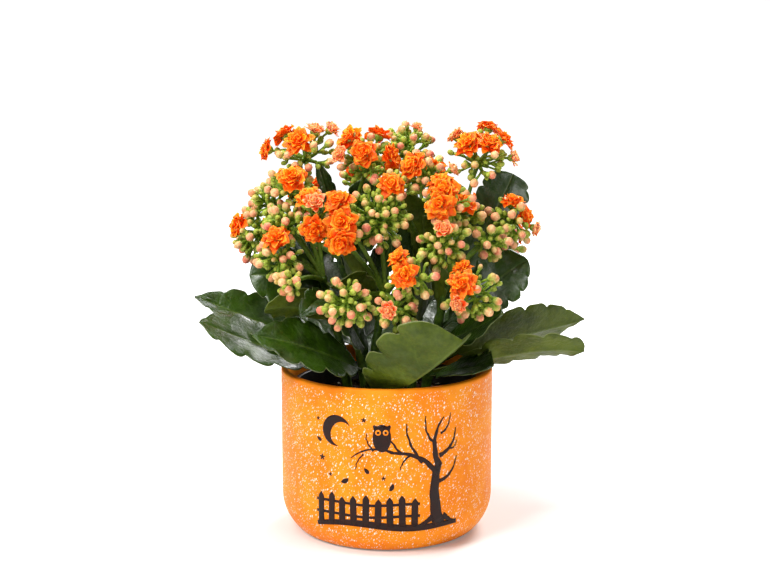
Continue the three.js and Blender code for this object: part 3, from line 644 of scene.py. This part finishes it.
def bud_places(name, hub, flowers, cap, rng):
    """Directions, reaches, sizes and ripeness of a head's buds.

    Ripe buds follow a spiral over the cap, and two lower layers of younger,
    greener and smaller ones follow spirals of their own. Seeded shifts, sizes
    and ages break the order. Places taken by flowers stay free.
    """
    turn, rise, half_angle, reach, count = cap
    axis = heading(turn, rise)
    u, v = across(axis)
    counts = [round(share * count) for share in (1.05, 1.5, 2.0)]
    layer = np.repeat([0, 1, 2], counts)
    i = concatenate([arange(k) for k in counts])
    limit = cos(radians(np.minimum(half_angle + 4 * layer, 100)))
    level = 1 - (1 - limit) * (i + 0.5) / array(counts)[layer]
    around = i * SPIRAL + 1.3 * layer
    flat = np.sqrt(1 - level**2)[:, None]
    sideways = cos(around)[:, None] * u + sin(around)[:, None] * v
    directions = level[:, None] * axis + flat * sideways
    directions = unit(directions + rng.normal(0, 0.07, directions.shape))
    a, b, c = rng.uniform(0, 1, (3, len(i)))
    upper = reach - 4.5 * a
    distance = np.choose(layer, [upper, reach * (0.72 + 0.2 * a), reach * (0.56 + 0.24 * a)])
    size = np.choose(layer, [0.84 + 0.2 * b, 0.56 + 0.24 * b, 0.42 + 0.2 * b])
    ripe = np.choose(layer, [0.4 + 0.65 * c, 0.5 * c, 0.25 * c])
    centres = hub + directions * distance[:, None]
    clear = np.ones(len(i), bool)
    for other, centre, radius in TAKEN:
        gap = np.linalg.norm(centres - centre, axis=1)
        clear &= gap > radius + (2.2 if other == name else 3.0) * size
    for turn, rise, out, width, _ in flowers:
        angle = np.degrees(np.arccos(np.clip(directions @ heading(turn, rise), -1, 1)))
        clear &= ~((angle < 12 + 0.8 * width) & (distance > out - 0.5 * width))
    return directions[clear], distance[clear], size[clear], ripe[clear]


def round_about(hub, directions, distance, size, radius, theta, level, stretch, **values):
    """One skin about each direction, from radii and levels in the skin's own space."""
    local = join(radius * cos(theta), radius * sin(theta), level)
    u, v = across(directions)
    axes = np.stack([u, v, directions * stretch], 1) * size[:, None, None]
    centre = (hub + directions * distance[:, None])[:, None, None]
    return shells(centre + np.einsum("rck,nkx->nrcx", local, axes), **values)


def buds(hub, directions, distance, size, ripe):
    """Round buds: radius sin(angle)^0.9 round an axis drawn to a soft point.

    Every second column is pressed in, which gives the seams of five petals, and
    a small bud is drawn out by a third of what it lacks in size.
    """
    phi = array([0.3, 0.85, 1.5, 2.15, 2.75])[:, None]
    odd = arange(10) % 2
    theta = circle(10) + 0.45 * phi
    radius = BUD_WIDTH / 2 * sin(phi) ** 0.9 * (1 - 0.06 * odd * sin(phi))
    level, stretch = -BUD_LENGTH / 2 * cos(phi), (1.33 - size / 3)[:, None]
    tone = (arange(len(size)) * 0.618 % 1)[:, None, None]
    return round_about(hub, directions, distance, size, radius, theta, level, stretch,
                       along=(1 - cos(phi)) / 2, side=odd, tone=tone, age=ripe[:, None, None])


def calyxes(hub, directions, distance, size, flare):
    """Green cups with four points that clasp the base of a bud or flower."""
    point = arange(8) % 2
    radius = join(0.6, 1.5, flare * (2.3 + 0.75 * point)).T
    level = join(-0.6, 0.0, 0.9 + 2.1 * point).T
    return round_about(hub, directions, distance, size, radius, circle(8), level, 1.0,
                       along=array([0, 0.4, 1.0])[:, None], side=point, tone=0.9)


def forked_stalks(hub, directions, lengths):
    """Green stalks of a head: boughs to a fork, then one thin stalk to each bud.

    Every fourth bud leads a bough that takes in the buds nearest to it; its
    fork lies 0.58 of their mean reach along their mean direction.
    """
    leaders = directions[::4]
    owner = np.argmax(directions @ leaders.T, axis=1)
    share = (owner[:, None] == arange(len(leaders))).astype(float)
    reach = share.T @ lengths / share.sum(0)
    fork = hub + unit(share.T @ directions) * (0.58 * reach)[:, None]
    t = linspace(0, 1, 5)
    start, end = fork[owner], hub + directions * lengths[:, None]
    bend = start + (end - start) * 0.5 + (start - hub) * 0.22
    thin = np.stack([bezier(a, b, c, t) for a, b, c in zip(start, bend, end)])
    along = t[:, None]
    thick = hub + (fork - hub)[:, None] * along
    return [tubes(thin, 0.72 + 0.25 * t**2, 6, along=along, tone=0.8),
            tubes(thick, 1.5 - 0.35 * t, 7, along=along, tone=0.7)]


def flower_head(head, rng):
    """All skins of one head: petals, buds and green stalks."""
    name, _, hub, cap, flowers = head
    directions, distance, size, ripe = bud_places(name, hub, flowers, cap, rng)
    colour, green = [], []
    foot = distance - BUD_LENGTH * size * 0.5
    facing, lengths = directions, foot
    if flowers:
        colour.append((blooms(hub, flowers, rng), 0))
        turn, rise, reach, width, _ = array(flowers, float).T
        out, base = heading(turn, rise), reach - width * 0.3
        green.append(calyxes(hub, out, base - 1.6, width / 10, 0.9))
        facing, lengths = concatenate([out, directions]), concatenate([base - 1, foot])
    colour.append((buds(hub, directions, distance, size, ripe), 1))
    green.append(calyxes(hub, directions, foot, size, 1.0))
    green += forked_stalks(hub, facing, lengths)
    return colour, [(skin, 0) for skin in green]


# Balls that buds keep clear of: the core of each head, and its open flowers
TAKEN = []
for name, _, hub, _, flowers in HEADS:
    TAKEN.append((name, hub, CORE_RADIUS * 0.8))
    for turn, rise, reach, width, _ in flowers:
        TAKEN.append((name, hub + heading(turn, rise) * (reach - width * 0.1), width * 0.42))


# ---- finishes ----


def srgb(red, green, blue):
    """Colour as the shader wants it, from the values a screen shows."""
    c = array([red, green, blue]) / 255
    c = np.where(c <= 0.04045, c / 12.92, ((c + 0.055) / 1.055) ** 2.4)
    return (*c.tolist(), 1)


BENCH = [None]  # The node tree that is being wired


def feed(node, inputs):
    """Links or sets the inputs of a node that are named."""
    for key, value in inputs.items():
        if isinstance(value, bpy.types.NodeSocket):
            BENCH[0].links.new(value, node.inputs[key])
        else:
            node.inputs[key].default_value = value


def put(kind, inputs=(), **settings):
    """Adds a node, sets its options and feeds it."""
    node = BENCH[0].nodes.new("ShaderNode" + kind)
    for key, value in settings.items():
        setattr(node, key, value)
    feed(node, dict(inputs))
    return node


def maths(operation, a, b=0):
    return put("Math", {0: a, 1: b}, operation=operation).outputs[0]


def times(a, b):
    return maths("MULTIPLY", a, b)


def plus(a, b):
    return maths("ADD", a, b)


def minus(a, b):
    return maths("SUBTRACT", a, b)


def larger(a, b):
    return maths("MAXIMUM", a, b)


def between(value, low, high, out_low=0, out_high=1):
    """Carries a value from one range to another with soft ends."""
    inputs = {0: value, 1: low, 2: high, 3: out_low, 4: out_high}
    return put("MapRange", inputs, interpolation_type="SMOOTHSTEP").outputs[0]


def ramp(value, first, last):
    return between(value, 0, 1, first, last)


def blend(factor, a, b, kind="MIX"):
    inputs = {0: factor, 6: a, 7: b}
    return put("Mix", inputs, data_type="RGBA", blend_type=kind).outputs[2]


def tint(colour, factor, share, *screen):
    """Lays a colour, given as screen values, over another by factor times share."""
    return blend(times(factor, share), colour, srgb(*screen))


def grey(value):
    return put("CombineColor", {0: value, 1: value, 2: value}).outputs[0]


def carried(name):
    """A value that the mesh carries at its points."""
    return put("Attribute", attribute_name=name, attribute_type="GEOMETRY").outputs["Fac"]


def spot(stretch=(1, 1, 1)):
    """Object coordinates in millimetres, stretched three ways."""
    where = put("TexCoord").outputs["Object"]
    scale = tuple(value / MM for value in stretch)
    return put("Mapping", {"Vector": where, "Scale": scale}).outputs[0]


def outward():
    """Distance from the Z axis in millimetres."""
    level = spot((1, 1, 0))
    return put("VectorMath", {0: level}, operation="LENGTH").outputs["Value"]


def noise(where, scale, detail, roughness=0.55):
    inputs = {"Vector": where, "Scale": scale, "Detail": detail, "Roughness": roughness}
    return put("TexNoise", inputs).outputs[0]


def fuzz(scale, detail, roughness=0.55, stretch=(1, 1, 1)):
    """Noise over the object's own space."""
    return noise(spot(stretch), scale, detail, roughness)


def cells(where, scale):
    return put("TexVoronoi", {"Vector": where, "Scale": scale}).outputs


def cloudy(scale, dark, light):
    """Colour and mask of the group clouds, from two colours as screen values."""
    inputs = {"Where": spot(), "Scale": scale, "Dark": srgb(*dark), "Light": srgb(*light)}
    out = put("Group", inputs, node_tree=clouds).outputs
    return out["Color"], out["Mask"]


def speckled(where, scale, size, cloud):
    inputs = {"Where": where, "Scale": scale, "Size": size, "Cloud": cloud}
    return put("Group", inputs, node_tree=specks).outputs["Mask"]


def pebbles(scale):
    inputs = {"Where": spot(), "Scale": scale}
    return put("Group", inputs, node_tree=grain).outputs["Height"]


# What the sockets of the node groups carry; all others carry plain values
SOCKETS = {"Where": "Vector", "Dark": "Color", "Light": "Color", "Color": "Color"}


def group(name, labels, build):
    """A node group. build gets the inputs in turn, and names its results."""
    tree = BENCH[0] = bpy.data.node_groups.new(name, "ShaderNodeTree")

    def open_socket(label, way):
        kind = "NodeSocket" + SOCKETS.get(label, "Float")
        tree.interface.new_socket(label, in_out=way, socket_type=kind)

    for label in labels:
        open_socket(label, "INPUT")
    given = tree.nodes.new("NodeGroupInput").outputs
    results = build(*(given[label] for label in labels))
    for label in results:
        open_socket(label, "OUTPUT")
    feed(tree.nodes.new("NodeGroupOutput"), results)
    return tree


def surface(colour, rough, height, depth):
    """What most looks link to the shader; the height becomes a bump of a depth in millimetres."""
    bump = {"Height": height, "Strength": 1, "Distance": depth * MM}
    return {"Base Color": colour, "Roughness": rough, "Normal": put("Bump", bump).outputs[0]}


def finish(name, constants, look):
    """A material: constants go on the shader, look links what changes over the surface."""
    material = bpy.data.materials.new(name)
    material.use_nodes = True
    BENCH[0] = material.node_tree
    feed(BENCH[0].nodes["Principled BSDF"], {**constants, **look()})
    return material


def build_clouds(where, scale, dark, light):
    """Clouds of two sizes that lighten and darken a colour."""
    wide, fine = noise(where, scale, 2), noise(where, times(scale, 6.3), 3)
    mask = between(plus(times(wide, 0.65), times(fine, 0.35)), 0.34, 0.66)
    return {"Color": blend(mask, dark, light), "Mask": mask}


def build_grain(where, scale):
    """Pebbled skin: small cells, and finer noise on them, as a height of 0 to 1."""
    fine = noise(where, times(scale, 2.7), 2)
    return {"Height": plus(times(cells(where, scale)["Distance"], 0.6), times(fine, 0.4))}


def build_specks(where, scale, size, cloud):
    """Dots of uneven size: a cell holds one where its centre is nearer than a limit
    that its own random value sets, and a cloud thins them out."""
    dots = cells(where, scale)
    chance = put("SeparateColor", {0: dots["Color"]}).outputs[0]
    crowd = between(noise(where, cloud, 2, 0.6), 0.34, 0.64, 0.75, 1.1)
    limit = times(times(maths("POWER", chance, 1.6), size), crowd)
    return {"Mask": between(minus(limit, dots["Distance"]), -0.02, 0.05)}


clouds = group("clouds", ["Where", "Scale", "Dark", "Light"], build_clouds)
grain = group("grain", ["Where", "Scale"], build_grain)
specks = group("specks", ["Where", "Scale", "Size", "Cloud"], build_specks)


def glaze_look():
    """Matt orange glaze, pale specks on the outside and a bare ring underneath.

    The specks lie on the wall unrolled into millimetres, which is turned and
    stretched so that they slant. They stop at the rim and under the foot.
    """
    x, y, z = put("SeparateXYZ", {0: spot()}).outputs
    around = times(maths("ARCTAN2", x, times(y, -1)), POT_RADIUS)
    flat = put("CombineXYZ", {0: around, 1: z}).outputs[0]
    turned = put("Mapping", {"Vector": flat, "Rotation": (0, 0, 0.42)}).outputs[0]
    slant = put("Mapping", {"Vector": turned, "Scale": (1.35, 0.75, 1)}).outputs[0]
    base, mask = cloudy(0.045, (243, 128, 14), (251, 150, 32))
    large, small = speckled(slant, 0.58, 0.38, 0.05), speckled(slant, 0.95, 0.45, 0.07)
    outer = larger(between(outward(), 64.5, 65.5), between(z, 13, 10.5))
    outer = times(times(outer, between(z, 102.8, 101.8)), between(z, 0.6, 1.6))
    dots = times(larger(large, times(small, 0.75)), outer)
    bare = between(z, 1.3, 0.9)
    colour = blend(bare, tint(base, dots, 0.92, 255, 243, 226), srgb(214, 176, 140))
    rough = plus(plus(ramp(mask, 0.46, 0.56), times(bare, 0.3)), times(dots, 0.12))
    ripple = fuzz(1, 2, stretch=(0.05, 0.05, 0.6))
    height = plus(times(ripple, 0.8), times(dots, 0.35))
    height = plus(height, times(fuzz(1.6, 2), 0.25))
    return surface(colour, rough, height, 0.12)


def ink_look():
    """Dark brown print, worn pale in a few tiny places."""
    base, mask = cloudy(0.12, (28, 10, 6), (44, 18, 10))
    worn = between(fuzz(1.1, 4, 0.7), 0.70, 0.78)
    colour = tint(base, worn, 0.5, 120, 62, 26)
    return surface(colour, ramp(mask, 0.42, 0.58), fuzz(1.8, 2), 0.05)


def plastic_look():
    """Black plastic under a little dust."""
    base, mask = cloudy(0.06, (22, 21, 20), (38, 36, 33))
    dust = times(between(fuzz(0.3, 5, 0.7), 0.5, 0.75), 0.35)
    rough = plus(ramp(mask, 0.36, 0.48), times(dust, 0.6))
    return surface(blend(dust, base, srgb(96, 80, 62)), rough, fuzz(1.5, 2), 0.06)


def soil_look():
    """Dark crumbly mix with paler fibres; the tone makes crumbs lighter or darker."""
    base, mask = cloudy(0.22, (24, 15, 9), (66, 44, 28))
    fibre = between(fuzz(1.1, 4, 0.7, (1, 0.25, 1)), 0.56, 0.72)
    colour = tint(base, fibre, 0.55, 104, 74, 46)
    pale = between(carried("tone"), 0.2, 0.9, 0.75, 1.3)
    colour = blend(1, colour, grey(pale), "MULTIPLY")
    return surface(colour, ramp(mask, 0.98, 0.82), fuzz(1.3, 5, 0.65), 0.7)


def perlite_look():
    """White grains full of pores."""
    base, mask = cloudy(0.4, (176, 168, 152), (232, 228, 218))
    return surface(base, ramp(mask, 0.95, 0.8), cells(spot(), 2.4)["Distance"], 0.3)


def leaf_look():
    """Dark waxy top, olive underside, pale midrib, faint side veins and a pale rim.

    The wax lies in patches, and is thin on the leaves near the middle.
    """
    along, side, face, tone, _ = (carried(name) for name in VALUES)
    wide = maths("ABSOLUTE", side)
    top, _ = cloudy(0.07, (20, 40, 0), (44, 70, 6))
    under, _ = cloudy(0.06, (54, 68, 4), (80, 94, 16))
    fresh = blend(between(tone, 0.4, 1, 0, 0.45), top, srgb(58, 82, 30))
    colour = blend(between(face, 0.35, 0.65), under, fresh)
    run = minus(along, times(wide, 0.2))
    veins = maths("ABSOLUTE", maths("SINE", times(run, 19)))
    veins = times(between(veins, 0.14, 0), between(wide, 1, 0.55))
    rib = larger(times(between(wide, 0.06, 0.015), 0.6), times(veins, 0.2))
    colour = tint(colour, rib, 0.5, 98, 120, 46)
    colour = tint(colour, between(wide, 0.97, 0.998), 0.7, 150, 156, 96)
    bloom = between(fuzz(0.11, 3), 0.45, 0.7)
    colour = tint(colour, bloom, 0.10, 120, 132, 96)
    rough = plus(between(face, 0.4, 0.6, 0.50, 0.30), times(bloom, 0.14))
    height = plus(times(pebbles(0.8), 0.35), times(fuzz(0.25, 2), 2.2))
    height = minus(height, times(rib, 0.5))
    patches = between(fuzz(0.045, 2), 0.4, 0.62, 0.12, 1)
    patches = times(patches, between(outward(), 40, 65, 0.12, 1))
    wax = times(between(face, 0.4, 0.6, 0.05, 1), patches)
    return surface(colour, rough, height, 0.45) | {"Coat Weight": wax}


def stalk_look():
    """Green skin: deep low down (tone 0.2) and yellow green near the buds (tone 0.9)."""
    tone, along = carried("tone"), carried("along")
    old, mask = cloudy(0.3, (36, 60, 8), (74, 102, 22))
    young, _ = cloudy(0.5, (92, 128, 22), (156, 182, 58))
    colour = blend(between(tone, 0.4, 0.9), old, young)
    tip = times(between(tone, 0.82, 0.88), between(along, 0.6, 1))
    colour = tint(colour, tip, 0.5, 190, 200, 110)
    return surface(colour, ramp(mask, 0.52, 0.4), pebbles(1.6), 0.12)


def petal_look():
    """Orange film: deep red at the base, partly painted shade for the crevices, yellower to the
    tip, partly painted highlight, and a fine pale rim that is a painted highlight.

    On half-open flowers (age under 1) the backs, rims and hearts are cream and
    the inner faces redder.
    """
    along, side, face, tone, age = (carried(name) for name in VALUES)
    body, _ = cloudy(0.30, (250, 70, 0), (255, 116, 0))
    # Deep red towards the base: partly the petals' own colour, partly painted shade in the crevices
    # between petals
    colour = tint(body, between(along, 0.62, 0.12), 0.95, 206, 22, 0)
    # Yellower towards the tips and inner whorls: partly the petals' own colour, partly a painted
    # highlight on the upper parts that face the light; drift varies it from flower to flower
    light = times(between(along, 0.45, 1), between(tone, -0.2, 0.7, 0.3, 1))
    drift = between(fuzz(0.06, 1), 0.35, 0.65, 0.45, 1)
    colour = tint(colour, light, drift, 255, 180, 8)
    half_open = between(age, 0.95, 0.55)
    colour = tint(colour, half_open, 0.7, 238, 62, 16)
    where = put("CombineXYZ", {0: times(side, 5), 1: along, 2: tone}).outputs[0]
    streak = noise(where, 2.2, 3)
    red = times(between(side, 0.7, 0.2), between(tone, 0, 0.9, 0.4, 0.15))
    colour = tint(colour, red, between(streak, 0.3, 0.6, 0.3, 1), 240, 62, 0)
    behind = between(face, 0.6, 0.3)
    colour = tint(colour, behind, 0.6, 240, 90, 12)
    heart = times(half_open, between(tone, 0.3, 0.9))
    colour = tint(colour, heart, 0.6, 255, 204, 142)
    edge = larger(between(side, 0.45, 0.9), between(along, 0.6, 0.92))
    cream = times(half_open, larger(behind, times(edge, 0.7)))
    colour = tint(colour, cream, 0.8, 255, 206, 150)
    # Painted highlight: a pale line along the petals' edges and tips where light catches them
    rim = larger(between(side, 0.82, 1), between(along, 0.9, 1))
    colour = tint(colour, rim, 0.55, 255, 184, 66)
    return surface(colour, ramp(streak, 0.62, 0.42), streak, 0.12)


def bud_look():
    """Peach skin, cream below and pinker to one side, with petal seams; young ones green."""
    along, side, _, tone, age = (carried(name) for name in VALUES)
    ripe, mask = cloudy(0.6, (232, 176, 116), (250, 212, 156))
    young, _ = cloudy(0.5, (118, 146, 26), (184, 198, 82))
    blush = plus(times(between(fuzz(0.22, 2), 0.35, 0.62), 0.6), times(tone, 0.4))
    flush = times(between(along, 0.15, 0.7), blush)
    pink = blend(tone, srgb(242, 150, 104), srgb(226, 118, 98))
    peach = blend(times(flush, 1.1), ripe, pink)
    turn = plus(age, times(along, 0.45))
    colour = blend(between(turn, 0.55, 1.05), young, peach)
    seam = times(between(side, 0.75, 1), between(along, 0.05, 0.4))
    colour = tint(colour, seam, 0.35, 206, 110, 74)
    return surface(colour, ramp(mask, 0.55, 0.4), minus(times(pebbles(2.2), 0.4), seam), 0.12)


glaze = finish("speckled_glaze", {"IOR": 1.45, "Specular IOR Level": 0.12}, glaze_look)
ink = finish("brown_print", {"Specular IOR Level": 0.25}, ink_look)
plastic = finish("grower_plastic", {"IOR": 1.46}, plastic_look)
earth = finish("potting_mix", {"Specular IOR Level": 0.25}, soil_look)
perlite = finish("perlite", {"Specular IOR Level": 0.3}, perlite_look)
leaf_skin = finish("leaf_skin", {"Specular IOR Level": 0.2, "Coat Roughness": 0.26}, leaf_look)
stalk_skin = finish("stalk_skin", {"IOR": 1.4, "Specular IOR Level": 0.35}, stalk_look)
# Light that passes through the petals: a scatter, and a weak red emission, a painted glow that
# lightens the petals' shade
THIN_FILM_AND_PAINTED_GLOW = {"Specular IOR Level": 0.25, "Emission Color": (1, 0.05, 0, 1),
        "Emission Strength": 0.11, "Subsurface Weight": 0.4,
        "Subsurface Radius": (1, 0.2, 0.05), "Subsurface Scale": 0.0012}
petal_film = finish("petal_film", THIN_FILM_AND_PAINTED_GLOW, petal_look)
bud_skin = finish("bud_skin", {"IOR": 1.4, "Specular IOR Level": 0.35}, bud_look)


# ---- the pieces ----

rng = np.random.default_rng(7)
piece("cover_pot", [(pot_skin(), 0)], [glaze], "pot_glaze", "pot")
piece("night_print", night_print(), [ink, glaze], "pot_glaze")
piece("grower_pot", [(liner_skin(), 0)], [plastic], "grower_plastic", "nursery_pot")
mix = [(soil_skin(rng), 0), (crumbs(rng, 240, 0.7, 2.4, -0.6), 0)]
mix.append((crumbs(rng, 70, 0.6, 1.7, -0.3), 1))
piece("potting_mix", mix, [earth, perlite], "potting_soil", "soil")
for shoot in SHOOTS:
    green = [(stem(shoot), 0), (stalks(shoot), 0)]
    piece("stems_" + shoot, green, [stalk_skin], "leaf_green", "shoot_" + shoot)
    blades = [(blade(shoot, leaf), 0) for leaf in LEAVES[shoot]]
    piece("leaves_" + shoot, blades, [leaf_skin], "leaf_green", "shoot_" + shoot)
for number, head in enumerate(HEADS):
    colour, green = flower_head(head, np.random.default_rng(100 + number))
    name = head[0]
    piece(name + "_flowers", colour, [petal_film, bud_skin], "petal_orange", name)
    piece(name + "_stalks", green, [stalk_skin], "leaf_green", name)


# ---- floor, light and camera ----


def floor_look():
    """White paper that is lit evenly far off, where the lamps don't reach."""
    inputs = {"Where": spot(), "Scale": 0.004, "Dark": (0.90, 0.90, 0.90, 1.0),
              "Light": (0.92, 0.92, 0.92, 1.0)}
    paper = put("Group", inputs, node_tree=clouds).outputs["Color"]
    far = between(outward(), 200.0, 1400.0, 0.1, 1.0)
    far = times(far, put("LightPath").outputs["Is Camera Ray"])
    return {"Base Color": paper, "Emission Color": grey(far)}


def stand(name, data, place, aim):
    """Sets a lamp or a camera at a place, with its -Z axis towards an aim."""
    thing = add(name, data)
    thing.location = place
    x, y, z = array(aim, float) - array(place, float)
    tilt = float(np.arccos(-z / np.sqrt(x * x + y * y + z * z)))
    thing.rotation_euler = (tilt, 0.0, float(np.arctan2(y, x) - pi / 2))
    return thing


ground = bpy.data.meshes.new("floor")
corners = [(-400, -400, 0), (400, -400, 0), (400, 400, 0), (-400, 400, 0)]
ground.from_pydata(corners, [], [(0, 1, 2, 3)])
paper = {"Roughness": 0.9, "Specular IOR Level": 0.1, "Emission Strength": 1.0}
ground.materials.append(finish("floor_paper", paper, floor_look))
floor = add("floor", ground)
floor.location.z = -0.0002

# Square soft lights: place, width and power
LAMPS = {
    "key": ((-0.85, -0.85, 1.05), 0.6, 18), "fill": ((0.85, -1.0, 0.45), 0.45, 3.4),
    "sheen": ((0.5, 0.8, 0.8), 0.5, 14), "top": ((-0.25, -0.05, 1.25), 0.7, 17),
}
for name, (place, size, power) in LAMPS.items():
    light = bpy.data.lights.new(name, "AREA")
    light.size, light.energy = size, power
    stand(name, light, place, (0.0, 0.0, 0.13))

# A dim white world that the camera sees as pure white
world = bpy.data.worlds.new("studio")
world.use_nodes = True
sky = BENCH[0] = world.node_tree
dim = sky.nodes["Background"]
feed(dim, {0: (1.0, 1.0, 1.0, 1.0), 1: 0.08})
white = put("Background", {0: (1.0, 1.0, 1.0, 1.0), 1: 1.0}).outputs[0]
seen = {0: put("LightPath").outputs["Is Camera Ray"], 1: dim.outputs[0], 2: white}
feed(sky.nodes["World Output"], {0: put("MixShader", seen).outputs[0]})
bpy.context.scene.world = world
bpy.context.scene.view_settings.view_transform = "Standard"

# The camera stands a metre from its target, 10.4 degrees above the level
target = array([-0.5, 0.0, 153.8]) * MM
camera = bpy.data.cameras.new("camera")
camera.lens, camera.sensor_width = 73.49, 36.0
bpy.context.scene.camera = stand("camera", camera, target + heading(-90.0, 10.4), target)
